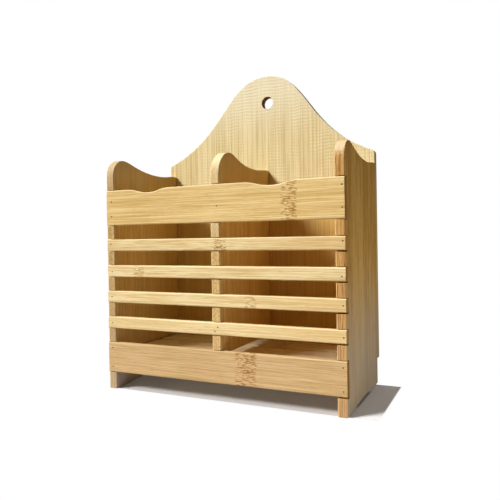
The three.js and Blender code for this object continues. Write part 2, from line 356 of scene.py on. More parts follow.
@dataclass(frozen=True)
class FibrePattern:
    """Scale of the bamboo pattern: strips, fibres, flecks and knuckles."""

    drift_length: float = 32 * MM
    drift_width: float = 9 * MM
    drift_reach: float = 4.0
    strip_shift: float = 0.37
    strip_draw: float = 7.3
    seam_width: float = 0.16 * MM
    thread_share: float = 0.55
    thread_shortness: float = 0.4
    thread_shift: float = 40.0
    fibre_tone: float = 1.9
    thread_tone: float = 2.1
    thread_gloss: float = 0.25
    fibre_height: float = 0.6
    thread_height: float = 0.7
    fleck_length: float = 7 * MM
    fleck_width: float = 0.4 * MM
    fleck_edge: Span = (0.6, 0.78)
    mottle_length: float = 45 * MM
    mottle_width: float = 11 * MM
    mottle_shift: float = 5.0
    knuckle_grain: float = 1.5 * MM
    knuckle_jag: float = 3.3 * MM
    knuckle_edge: float = 0.35
    stroke_length: float = 3.4 * MM
    stroke_width: float = 0.75 * MM
    stroke_bend: float = 0.25
    pit_edge: Span = (0.5, 0.36)
    glint_edge: Span = (0.5, 0.64)
    bend_reach: float = 16 * MM
    bend_height: float = 2.2 * MM
    bundle_size: float = 0.6 * MM

    def build(self) -> bpy.types.NodeTree:
        """Build the group that colours bamboo from a place along, across and through a board.

        Returns:
            The group.
        """
        plain = dict.fromkeys(LENGTHS + SHARES, 0.0) | dict.fromkeys(SHADES, BLACK)
        group = EffectGroup(
            "Bamboo fibres",
            {"place": (0.0, 0.0, 0.0), "end_grain": 0.0} | plain,
            {"Color": "Color", "Roughness": "Float", "Height": "Float"},
        )
        graph, given = group.graph, group.inputs
        along, across, through = graph.split(given["place"]).values()
        seed, jag_size = given["seed"], self.knuckle_grain

        drift = graph.noise(1.0, (along, self.drift_length), (across, self.drift_width), seed)
        wave = graph.swing(drift, graph.times(given["waviness"], self.drift_reach))
        lane = graph.total(graph.over(across, given["strip_width"]), graph.times(seed, self.strip_shift))
        draw = graph.total(graph.math("FLOOR", lane), graph.times(seed, self.strip_draw))
        chance = graph.node("TexWhiteNoise", {"W": draw}, noise_dimensions="1D")
        lot = graph.split(chance.outputs["Color"])
        share = graph.math("FRACT", lane)
        edge = graph.math("MINIMUM", share, graph.math("SUBTRACT", 1.0, share))
        marks = {"seams": graph.step(graph.times(edge, given["strip_width"]), self.seam_width, 0.0)}

        strength, spacing = given["knuckle_strength"], given["knuckle_spacing"]
        turns = graph.over(graph.math("SUBTRACT", along, given["knuckle_place"]), spacing)
        turns = graph.total(turns, graph.times(lot["Y"], given["knuckle_scatter"]), 0.5)
        away = graph.times(graph.math("SUBTRACT", graph.math("FRACT", turns), 0.5), spacing)
        jag = graph.noise(2.0, (across, jag_size), (through, jag_size), seed)
        distance = graph.math("ABSOLUTE", graph.total(away, graph.swing(jag, self.knuckle_jag)))
        closeness = graph.math("SUBTRACT", 1.0, graph.over(distance, given["knuckle_reach"]))
        band = graph.times(graph.step(closeness, 0.0, self.knuckle_edge), strength)
        strokes = graph.noise(
            1.0, (along, self.stroke_length), (across, self.stroke_width), (through, self.stroke_width),
            distortion=self.stroke_bend,
        )
        marks["knuckles"] = band
        marks["pits"] = graph.times(band, graph.step(strokes, *self.pit_edge))
        marks["glints"] = graph.times(band, graph.step(strokes, *self.glint_edge))
        near = graph.step(distance, self.bend_reach, 0.0)
        bend = graph.times(near, graph.swing(jag, self.bend_height), strength)
        lie = graph.total(across, wave, bend)

        shift = graph.times(lot["Z"], self.thread_shift)
        pitch, length = given["fibre_pitch"], given["fibre_length"]
        short, thin = graph.times(length, self.thread_shortness), graph.times(pitch, self.thread_share)
        sizes = ((1.5, length, pitch), (2.0, short, thin), (0.0, self.fleck_length, self.fleck_width))
        fibre, thread, fleck = (
            graph.noise(detail, graph.total(graph.over(along, run), shift), (lie, wide), (through, wide))
            for detail, run, wide in sizes
        )
        marks["flecks"] = graph.times(graph.step(fleck, *self.fleck_edge), given["fleck_strength"])
        spot = graph.total(seed, self.mottle_shift)
        mottle = graph.noise(2.0, (along, self.mottle_length), (across, self.mottle_width), spot)
        size = self.bundle_size
        bundles = graph.noise(0.5, (along, given["bundle_length"]), (across, size), (through, size))
        marks["dots"] = graph.times(given["end_grain"], graph.step(bundles, *self.pit_edge))

        contrast = given["fibre_contrast"]
        tone = graph.total(
            0.5,
            graph.swing(lot["X"], given["strip_contrast"]),
            graph.swing(fibre, graph.times(contrast, self.fibre_tone)),
            graph.swing(thread, graph.times(contrast, self.thread_tone)),
            graph.swing(mottle, given["mottle"]),
            graph.weigh(marks, TONE),
        )
        colour = graph.mix(graph.clamp(tone), given["middle"], given["pale"])
        group.give("Color", graph.mix(graph.clamp(graph.weigh(marks, STAIN)), colour, given["dark"]))
        rough = graph.swing(thread, self.thread_gloss)
        group.give("Roughness", graph.total(given["gloss"], rough, graph.weigh(marks, ROUGHNESS)))
        fine = graph.total(graph.swing(fibre, self.fibre_height), graph.swing(thread, self.thread_height))
        group.give("Height", graph.total(fine, graph.weigh(marks, HEIGHT)))
        return group.tree


@dataclass(frozen=True)
class PlanerPattern:
    """Scale of the faint waves that a planer leaves across the grain."""

    pitch: float = 3.0 * MM
    drift_length: float = 20 * MM
    drift_width: float = 14 * MM
    drift_turns: float = 1.3
    drift_slice: float = 1.7
    patch_length: float = 30 * MM
    patch_width: float = 18 * MM
    patch_slice: float = 4.2
    patch_edge: Span = (0.34, 0.6)

    def build(self) -> bpy.types.NodeTree:
        """Build the group that gives the waves' height and where they catch the light.

        Returns:
            The group.
        """
        group = EffectGroup("Planer waves", {"place": (0.0, 0.0, 0.0), "strength": 1.0}, {"Wave": "Float"})
        graph = group.graph
        along, across, _ = graph.split(group.inputs["place"]).values()
        drift = graph.noise(2.0, (along, self.drift_length), (across, self.drift_width), self.drift_slice)
        turns = graph.total(graph.over(along, self.pitch), graph.swing(drift, self.drift_turns))
        wave = graph.math("SINE", graph.times(turns, math.tau))
        patch = graph.noise(1.0, (along, self.patch_length), (across, self.patch_width), self.patch_slice)
        wave = graph.times(wave, graph.step(patch, *self.patch_edge), group.inputs["strength"])
        group.give("Wave", wave)
        return group.tree


@dataclass(frozen=True)
class Fade:
    """A change of colour along an axis, from nothing at start to its full strength at end."""

    start: float
    end: float
    strength: float
    colour: Colour
    axis: str = "Z"
    side: Triple | None = None
    edge: Span = (0.3, 0.8)

    def mask(self, graph: Graph, place: dict[str, Socket], outward: Socket) -> object:
        """Say how strong the fade is at a place on a surface that faces outward."""
        faded = graph.times(graph.step(place[self.axis], self.start * MM, self.end * MM), self.strength)
        return graph.times(faded, graph.toward(outward, self.side, self.edge)) if self.side else faded


@dataclass(frozen=True)
class BambooFinish:
    """Look of one bamboo board, its lengths in millimetres."""

    name: str
    slot: str
    grain: Grain
    seed: float
    pale: Colour
    middle: Colour
    dark: Colour = shade(112, 70, 30)
    strip_width: float = 20.0
    fibre_length: float = 60.0
    fibre_pitch: float = 1.6
    waviness: float = 0.4
    knuckle_place: float = 0.0
    knuckle_spacing: float = 320.0
    knuckle_scatter: float = 1.0
    knuckle_strength: float = 0.8
    knuckle_reach: float = 6.0
    bundle_length: float = 1.2
    strip_contrast: float = 0.5
    fibre_contrast: float = 0.8
    fleck_strength: float = 0.4
    mottle: float = 0.9
    gloss: float = 0.62
    relief: float = 0.25
    relief_height: float = 0.4
    planer_waves: float = 0.0
    planer_highlight: float = 0.5
    waves_range: Span = (135.0, 165.0)
    end_grain: float = 1.0
    edge_grain: float = 0.0
    edge_tint: Colour = WHITE
    end_tint: Colour = WHITE
    end_edge: Span = (0.35, 0.9)
    # Painted highlight: the rounded edges that face the key lamp are made paler
    highlight_colour: Colour = shade(255, 240, 196)
    highlight_strength: float = 0.6
    highlight_side: Triple = (-0.6, -0.5, 0.62)
    highlight_edge: Span = (0.2, 0.55)
    round_start: Span = (0.1, 0.35)
    round_end: Span = (0.97, 0.84)
    fades: tuple[Fade, ...] = ()
    sheen: float = 0.0
    # Painted shade on the wall of the hanging hole
    hole_shade_centre: Span = (0.0, 0.0)
    hole_shade_radius: float = 0.0
    hole_shade_width: float = 0.25
    hole_shade_strength: float = 0.85

    def build(self, fibres: bpy.types.NodeTree, planer: bpy.types.NodeTree) -> bpy.types.Material:
        """Build the board's material.

        Args:
            fibres: The group that colours bamboo.
            planer: The group that gives the planer's waves.

        Returns:
            The material.
        """
        material, graph = new_material(self.name)
        coordinates = graph.node("TexCoord").outputs
        outward = coordinates["Normal"]
        frame_place, normal = graph.split(coordinates["Object"]), graph.split(outward)
        place = graph.vector(*(frame_place[axis] for axis in self.grain.value))
        facing = [graph.math("ABSOLUTE", normal[axis]) for axis in self.grain.value]
        on_end, on_edge = (graph.step(value, *self.end_edge) for value in facing[:2])
        inputs = {name: getattr(self, name) * MM for name in LENGTHS}
        inputs |= {name: getattr(self, name) for name in SHARES + SHADES}
        inputs["place"] = place
        inputs["end_grain"] = graph.most(
            graph.times(on_end, self.end_grain), graph.times(on_edge, self.edge_grain)
        )
        bamboo = graph.node("Group", node_tree=fibres)
        for name, value in inputs.items():
            graph.feed(bamboo.inputs[name], value)
        colour, height = bamboo.outputs["Color"], bamboo.outputs["Height"]
        colour = graph.mix(on_edge, colour, self.edge_tint, "MULTIPLY")
        colour = graph.mix(on_end, colour, self.end_tint, "MULTIPLY")
        for fade in self.fades:
            colour = graph.mix(fade.mask(graph, frame_place, outward), colour, fade.colour)
        ends = (self.round_start, self.round_end)
        rounded = graph.times(*(graph.step(facing[2], *end) for end in ends))
        # Painted highlight on the rounded edges that face the key lamp
        lit_rim = graph.times(rounded, graph.toward(outward, self.highlight_side, self.highlight_edge))
        colour = graph.mix(graph.times(lit_rim, self.highlight_strength), colour, self.highlight_colour)
        # Painted shade on the wall of the hanging hole
        if self.hole_shade_radius:
            colour = self.shade_hole(graph, colour, frame_place)
        if self.planer_waves:
            waves = graph.node("Group", node_tree=planer)
            graph.feed(waves.inputs["place"], place)
            upper = graph.step(frame_place[self.grain.value[0]], *(end * MM for end in self.waves_range))
            graph.feed(waves.inputs["strength"], graph.times(upper, self.planer_waves))
            wave = waves.outputs["Wave"]
            height = graph.total(height, wave)
            # Painted highlight: the crests of the planer's waves are made paler, where they catch the light
            colour = graph.mix(graph.clamp(graph.times(wave, self.planer_highlight)), colour, self.pale)
        relief = {"Strength": self.relief, "Distance": self.relief_height * MM, "Height": height}
        finish_surface(graph, {
            "Base Color": colour,
            "Roughness": bamboo.outputs["Roughness"],
            "Normal": graph.node("Bump", relief).outputs["Normal"],
            "Specular IOR Level": self.sheen,
        })
        return material

    def shade_hole(self, graph: Graph, colour: Socket, place: dict[str, Socket]) -> Socket:
        """Paint shade on the wall of the drilled hole.

        Args:
            graph: The material's graph.
            colour: The colour before.
            place: The place's X, Y and Z.

        Returns:
            The colour with painted shade on the hole's wall.
        """
        middle = zip("XZ", self.hole_shade_centre)
        away = graph.reach(*(graph.math("SUBTRACT", place[axis], part * MM) for axis, part in middle))
        hole_shade_mask = graph.step(away, (self.hole_shade_radius + self.hole_shade_width) * MM, self.hole_shade_radius * MM)
        return graph.mix(graph.times(hole_shade_mask, self.hole_shade_strength), colour, self.dark)


@dataclass(frozen=True)
class NailFinish:
    """Look of the small dark nail heads."""

    name: str = "dull_nail_steel"
    bright: Colour = shade(156, 104, 52)
    tarnish: Colour = shade(100, 62, 28)
    spot: float = 0.35 * MM
    spot_edge: Span = (0.4, 0.68)
    roughness: float = 0.6
    unevenness: float = 0.5
    sheen: float = 0.05

    def build(self) -> bpy.types.Material:
        """Build the nails' material.

        Returns:
            The material.
        """
        material, graph = new_material(self.name)
        place = graph.split(graph.node("TexCoord").outputs["Object"])
        spots = graph.noise(3.0, *((value, self.spot) for value in place.values()))
        finish_surface(graph, {
            "Base Color": graph.mix(graph.step(spots, *self.spot_edge), self.tarnish, self.bright),
            "Roughness": graph.total(self.roughness, graph.swing(spots, self.unevenness)),
            "Specular IOR Level": self.sheen,
        })
        return material


def at(x: float, y: float) -> Vector:
    """Give a point of an outline."""
    return Vector((x, y))


def curve(start: Vector, handle: Vector, far_handle: Vector, end: Vector, steps: int) -> list[Vector]:
    """Give the points of a curve after its start, from both ends and their handles."""
    ends = [point.to_3d() for point in (start, handle, far_handle, end)]
    return [point.to_2d() for point in interpolate_bezier(*ends, steps + 1)[1:]]


def arc(centre: Vector, radius: float, first: float, last: float, steps: int) -> list[Vector]:
    """Give the points of an arc between two angles in degrees, both ends included."""
    angles = [math.radians(first + (last - first) * i / steps) for i in range(steps + 1)]
    return [centre + radius * at(math.cos(angle), math.sin(angle)) for angle in angles]


@dataclass
class Board:
    """A board sawn to an outline, with sanded edges."""

    name: str
    facing: Facing
    outline: Sequence[Vector]
    low: float
    high: float
    rounding: float = 0.7 * MM
    end_rounding: float | None = None
    corner_rounding: float = 0.3 * MM
    corner_angle: float = 50.0
    notch_rounding: float = 0.2 * MM
    notch_ranges: Sequence[Span] = ()
    notch_reach: float = 8 * MM
    round_segments: int = 4
    longest_edge: float = 6 * MM
    wobble: float = 0.07 * MM
    wobble_length: float = 17 * MM
    wobble_start: Triple = (3.1, 1.7, 0.4)
    margin: float = 0.01 * MM
    flat: float = 0.001 * MM

    def blank(self) -> Shape:
        """Extrude the outline through the board's thickness and divide its long edges.

        Returns:
            The blank.
        """
        shape = bmesh.new()
        corners = [shape.verts.new(self.facing.place(p.x, p.y, self.low)) for p in self.outline]
        grown = bmesh.ops.extrude_face_region(shape, geom=[shape.faces.new(corners)])
        moved = [item for item in grown["geom"] if isinstance(item, bmesh.types.BMVert)]
        bmesh.ops.translate(shape, verts=moved, vec=self.facing.place(0.0, 0.0, self.high - self.low))
        bmesh.ops.recalc_face_normals(shape, faces=shape.faces)
        for edge in self.rim(shape):
            cuts = int(edge.calc_length() / self.longest_edge)
            if cuts:
                bmesh.ops.subdivide_edges(shape, edges=[edge], cuts=cuts)
        return shape

    def corners(self, shape: Shape) -> list[bmesh.types.BMEdge]:
        """Find the outer corners of the outline, which run through the thickness.

        Args:
            shape: The blank.

        Returns:
            The edges at the corners.
        """
        across = set(shape.edges) - set(self.rim(shape))
        sharp = math.radians(self.corner_angle)
        return [edge for edge in across if edge.is_convex and edge.calc_face_angle() > sharp]

    def rim(self, shape: Shape) -> list[bmesh.types.BMEdge]:
        """Find the edges around both faces of a blank."""
        depth = self.facing.value[2]
        return [e for e in shape.edges if abs(e.verts[0].co[depth] - e.verts[1].co[depth]) < self.flat]

    def edge_rounding(self, edge: bmesh.types.BMEdge) -> float:
        """Say how far an edge is rounded.

        Args:
            edge: An edge of the blank.

        Returns:
            The rounding there.
        """
        middle = (edge.verts[0].co + edge.verts[1].co) / 2
        across, up = (middle[axis] for axis in self.facing.value[:2])
        left, right = (choose(point.x for point in self.outline) for choose in (min, max))
        near = self.margin
        notched = any(low - near < up < high + near for low, high in self.notch_ranges)
        if notched and across < left + self.notch_reach:
            return self.notch_rounding
        at_end = min(across - left, right - across) < near
        return self.end_rounding if at_end and self.end_rounding is not None else self.rounding

    def sand(self, shape: Shape) -> None:
        """Leave the rim a little uneven and note how far each edge of it gets rounded.

        Args:
            shape: The blank.
        """
        weights = shape.edges.layers.float.new("bevel_weight_edge")
        for edge in self.rim(shape):
            edge[weights] = self.edge_rounding(edge) / self.rounding
        for edge in self.corners(shape):
            edge[weights] = min(self.corner_rounding, self.edge_rounding(edge)) / self.rounding
        lowest = [min(vert.co[i] for vert in shape.verts) + self.margin for i in range(3)]
        highest = [max(vert.co[i] for vert in shape.verts) - self.margin for i in range(3)]
        for vert in shape.verts:
            push = noise.noise_vector(vert.co / self.wobble_length + Vector(self.wobble_start))
            for i in self.facing.value[:2]:
                vert.co[i] = min(max(vert.co[i] + push[i] * self.wobble, lowest[i]), highest[i])

    def make(self, cutters: Sequence[Shape] = ()) -> Piece:
        """Make the finished board.

        Args:
            cutters: Shapes to cut out of it.

        Returns:
            The board's object.
        """
        shape = self.blank()
        self.sand(shape)
        board = add_object(self.name, shape)
        sanding = board.modifiers.new("sanding", "BEVEL")
        sanding.limit_method = "WEIGHT"
        sanding.width = self.rounding
        sanding.segments = self.round_segments
        sanding.profile = 0.5
        sanding.use_clamp_overlap = False
        finish_mesh(board, cutters)
        return board


def link(name: str, data: bpy.types.ID) -> Piece:
    """Put new data into the scene as an object.

    Args:
        name: The object's name.
        data: Its mesh, lamp or camera.

    Returns:
        The object.
    """
    made = bpy.data.objects.new(name, data)
    bpy.context.scene.collection.objects.link(made)
    return made


def add_object(name: str, shape: Shape) -> Piece:
    """Turn a bmesh into an object in the scene and free the bmesh.

    Args:
        name: The object's name.
        shape: The bmesh.

    Returns:
        The object.
    """
    mesh = bpy.data.meshes.new(name)
    shape.to_mesh(mesh)
    shape.free()
    return link(name, mesh)


def finish_mesh(board: Piece, cutters: Sequence[Shape], sharp: float = 40.0, weight: int = 50) -> None:
    """Apply a board's modifiers, cut shapes out of it and even out its shading.

    Args:
        board: The board.
        cutters: The shapes to cut out, which are freed.
        sharp: The angle in degrees over which an edge stays sharp.
        weight: How much more a large face counts in the shading.
    """
    tools = [add_object(f"{board.name}_cutter_{i}", cutter) for i, cutter in enumerate(cutters)]
    for tool in tools:
        step = board.modifiers.new("cut", "BOOLEAN")
        step.operation = "DIFFERENCE"
        step.solver = "MANIFOLD"
        step.object = tool
    freeze(board)
    for tool in tools:
        bpy.data.objects.remove(tool)
    split_faces(board.data)
    smooth(board.data, sharp)
    even = board.modifiers.new("even", "WEIGHTED_NORMAL")
    even.keep_sharp = True
    even.weight = weight
    freeze(board)


def split_faces(mesh: bpy.types.Mesh, nearest: float = 0.002 * MM) -> None:
    """Merge doubles, split every face of more than four corners and drop flat pairs of twin faces.

    Args:
        mesh: The mesh to mend.
        nearest: Corners closer than this are merged.
    """
    shape = bmesh.new()
    shape.from_mesh(mesh)
    bmesh.ops.remove_doubles(shape, verts=shape.verts, dist=nearest)
    bmesh.ops.triangulate(shape, faces=[face for face in shape.faces if len(face.verts) > 4])
    sharing: dict[frozenset, list[bmesh.types.BMFace]] = {}
    for face in shape.faces:
        sharing.setdefault(frozenset(face.verts), []).append(face)
    twins = [face for faces in sharing.values() if len(faces) > 1 for face in faces]
    bmesh.ops.delete(shape, geom=twins, context="FACES")
    bmesh.ops.recalc_face_normals(shape, faces=shape.faces)
    shape.to_mesh(mesh)
    shape.free()


def smooth(mesh: bpy.types.Mesh, sharp: float) -> None:
    """Shade a mesh smooth but for edges sharper than an angle in degrees."""
    mesh.polygons.foreach_set("use_smooth", [True] * len(mesh.polygons))
    mesh.set_sharp_from_angle(angle=math.radians(sharp))


def freeze(board: Piece) -> None:
    """Turn the modifiers of a board into its mesh.

    Args:
        board: The board.
    """
    bpy.context.view_layer.update()
    ready = board.evaluated_get(bpy.context.evaluated_depsgraph_get())
    mesh = bpy.data.meshes.new_from_object(ready)
    mesh.name = board.name
    board.modifiers.clear()
    board.data = mesh


def drill(centre: Vector, radius: float, length: float, sides: int = 20) -> Shape:
    """Make a cylinder along Y for cutting a round hole.

    Args:
        centre: The cylinder's middle.
        radius: Its radius.
        length: Its length along Y.
        sides: How many sides it has.

    Returns:
        The cylinder.
    """
    shape = bmesh.new()
    turn = Matrix.Translation(centre) @ Matrix.Rotation(math.pi / 2, 4, "X")
    sizes = {"segments": sides, "radius1": radius, "radius2": radius, "depth": length}
    bmesh.ops.create_cone(shape, cap_ends=True, matrix=turn, **sizes)
    return shape


def dress(piece: Piece, material: bpy.types.Material, node: str) -> None:
    """Give a piece its material, let it ride on the rack and stand for its solid.

    Args:
        piece: The piece.
        material: Its material.
        node: The solid that it replaces.
    """
    piece.data.materials.clear()
    piece.data.materials.append(material)
    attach(piece, "root")
    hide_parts(node)
    LOG.info("%s: %d faces", piece.name, len(piece.data.polygons))


@dataclass
class Workshop:
    """Builds the shared node groups once and hands out finished materials."""

    fibres: bpy.types.NodeTree = field(init=False)
    planer: bpy.types.NodeTree = field(init=False)
    nail: bpy.types.Material = field(init=False)

    def __post_init__(self) -> None:
        """Build the groups and the nails' material."""
        self.fibres = FibrePattern().build()
        self.planer = PlanerPattern().build()
        self.nail = NailFinish().build()

    def material(self, finish: BambooFinish) -> bpy.types.Material:
        """Build the material of one board."""
        return finish.build(self.fibres, self.planer)

    def finish(self, piece: Piece, finish: BambooFinish, node: str) -> None:
        """Dress a board in a finish of its own."""
        dress(piece, self.material(finish), node)


NAIL_HEAD = 0.56 * MM


def nodes(prefix: str) -> list[str]:
    """List the solids whose names start with a prefix."""
    return sorted(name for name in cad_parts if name.startswith(prefix))


def nail_hole(name: str, face: float, slack: float = 0.05 * MM, depth: float = 1.6 * MM) -> Shape:
    """Make the cutter for the sunk hole around a nail's head.

    Args:
        name: The nail's node.
        face: The Y of the face that it was driven into.
        slack: Room around the head.
        depth: How deep the hole goes under the face.

    Returns:
        The cutter.
    """
    low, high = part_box(name)
    centre = (low + high) / 2
    centre.y = face
    return drill(centre, NAIL_HEAD + slack, 2 * depth)


RIGHTWARD = (1.0, 0.0, 0.0)
FORWARD = (0.0, -1.0, 0.0)
# Painted light from the shelf: the uprights turn greyer and paler towards the foot
FLOOR_LIGHT_FADE = Fade(110, 0, 0.42, shade(172, 160, 144))
LEFT_SIDE = BambooFinish(
    "left_side_bamboo", "bamboo_upright", Grain.UPRIGHT, 3.0,
    pale=shade(236, 208, 150), middle=shade(206, 168, 106), edge_tint=shade(246, 244, 244),
    strip_width=19, strip_contrast=0.7, fibre_length=110, fibre_pitch=1.3, waviness=0.15,
    edge_grain=0.8, end_grain=0.9, bundle_length=2, knuckle_strength=0.0,
    fades=(
        Fade(165, 190, 0.35, shade(246, 231, 198)),
        FLOOR_LIGHT_FADE,
        # Painted light from the shelf on the low inner face
        Fade(22, 8, 0.5, shade(214, 200, 196), side=RIGHTWARD),
        # Painted shade: the inner face darker towards the back board
        Fade(-45, 42, 0.75, shade(174, 130, 50), axis="Y", side=RIGHTWARD),
    ),
)
UPRIGHT_FINISHES = {
    "side_left": LEFT_SIDE,
    "side_right": replace(
        LEFT_SIDE, name="right_side_bamboo", seed=8.0,
        pale=shade(238, 192, 108), middle=shade(198, 144, 68), dark=shade(132, 66, 28),
        edge_tint=shade(234, 231, 252), strip_width=17, strip_contrast=0.8, fibre_length=130,
        fibre_pitch=1.2, fibre_contrast=1.5, fleck_strength=0.8, edge_grain=1.1, end_grain=0.8,
        bundle_length=14, highlight_strength=0.3,
        fades=(
            # Painted light from the shelf on the lower outer face and front edge
            replace(FLOOR_LIGHT_FADE, side=RIGHTWARD),
            Fade(110, 0, 0.42, shade(178, 146, 116), side=FORWARD),
            Fade(184, 192, 0.55, shade(255, 238, 200), side=(0.0, -0.55, 0.83)),
            # Painted light from the shelf: the outer face greyer towards the bottom
            Fade(130, 20, 0.42, shade(206, 194, 174), side=RIGHTWARD),
        ),
    ),
    "divider": replace(
        LEFT_SIDE, name="divider_bamboo", seed=5.0,
        pale=shade(250, 228, 172), middle=shade(225, 192, 128), edge_tint=shade(244, 236, 226),
        strip_width=20, strip_contrast=0.6, fibre_contrast=1.0,
        fades=(
            Fade(118, 145, 0.35, shade(255, 238, 192), side=FORWARD),
            # Painted light: the divider's right face paler on its upper part
            Fade(150, 180, 0.45, shade(255, 238, 190), side=RIGHTWARD),
            Fade(182, 190, 0.6, shade(255, 244, 200), side=(0.0, -0.6, 0.8)),
            # Painted shade: the right face darker towards the back board
            Fade(-54, 36, 0.62, shade(186, 142, 60), axis="Y", side=RIGHTWARD),
        ),
    ),
}
BACK_FINISH = BambooFinish(
    "back_bamboo", "bamboo_back", Grain.BACK, 2.0,
    pale=shade(243, 228, 180), middle=shade(212, 187, 129), edge_tint=shade(250, 238, 208),
    strip_width=19.5, strip_contrast=0.45, fibre_length=190, fibre_pitch=1.3, waviness=0.08,
    fibre_contrast=0.95, knuckle_strength=0.0, fleck_strength=0.15, planer_waves=0.5,
    fades=(
        Fade(210, 275, 0.6, shade(255, 248, 222)),
        # Painted light on the right sloping edge, which the lamps leave dark
        Fade(196, 206, 0.75, shade(255, 240, 198), side=(0.75, 0.0, 0.66)),
        # Painted shade: the front face darker and more amber inside the rack, below the top rail
        Fade(172, 138, 0.65, shade(196, 150, 52), side=FORWARD),
        Fade(110, 20, 0.55, shade(190, 172, 150), side=RIGHTWARD),
        Fade(203, 199, 0.3, shade(186, 138, 46), side=RIGHTWARD),
    ),
)
FLOOR_FINISH = BambooFinish(
    "floor_bamboo", "bamboo_floor", Grain.FLOOR, 6.0,
    pale=shade(244, 228, 192), middle=shade(216, 191, 147),
    strip_width=22, fibre_pitch=1.8, knuckle_strength=0.5,
)
AMBER_FADE = Fade(0, 90, 0.35, shade(216, 170, 98), axis="X")
SLAT_FINISH = BambooFinish(
    "slat_bamboo", "bamboo_rail", Grain.RAIL, 0.0,
    pale=shade(250, 230, 180), middle=shade(222, 190, 128), dark=shade(146, 84, 24),
    # The rails' sawn ends are darkened: partly their end-grain tone, partly painted shade where they meet the
    # side boards
    end_tint=shade(205, 180, 140), strip_width=500, strip_contrast=0.0, mottle=0.45, end_grain=0.45,
    fibre_length=70, fibre_pitch=1.0, waviness=0.15, fibre_contrast=1.25,
    knuckle_spacing=600, knuckle_scatter=0.0, knuckle_strength=0.6,
)
RAIL_CHANGES = {
    "top_rail": {
        "seed": 11.0, "pale": shade(250, 223, 162), "middle": shade(215, 177, 106),
        "fibre_length": 90, "fibre_pitch": 0.65, "waviness": 0.04, "fibre_contrast": 1.15,
        "knuckle_place": 63, "knuckle_strength": 1.0, "knuckle_reach": 7,
    },
    "slat_1": {
        "seed": 12.5, "fibre_length": 45, "fibre_pitch": 0.8, "fibre_contrast": 1.3,
        "knuckle_place": 5.5, "knuckle_strength": 1.05,
        "fades": (replace(AMBER_FADE, start=10, strength=0.4),),
    },
    "slat_2": {"seed": 14.2, "knuckle_place": -72},
    "slat_3": {"seed": 15.9, "knuckle_place": 30.5, "fades": (AMBER_FADE,)},
    "slat_4": {
        "seed": 17.3, "fibre_length": 80, "fibre_contrast": 0.8, "knuckle_strength": 0.0,
        "fades": (replace(AMBER_FADE, strength=0.3),),
    },
    "bottom_rail": {
        "seed": 19.6, "pale": shade(222, 190, 142), "middle": shade(189, 154, 102),
        "fibre_length": 80, "fibre_pitch": 0.8, "waviness": 0.06, "fibre_contrast": 1.1,
        "highlight_strength": 0.15, "knuckle_place": 26, "knuckle_strength": 1.1, "knuckle_reach": 10,
    },
}
RAIL_FINISHES = {
    node: replace(SLAT_FINISH, name=f"{node}_bamboo", **changes) for node, changes in RAIL_CHANGES.items()
}


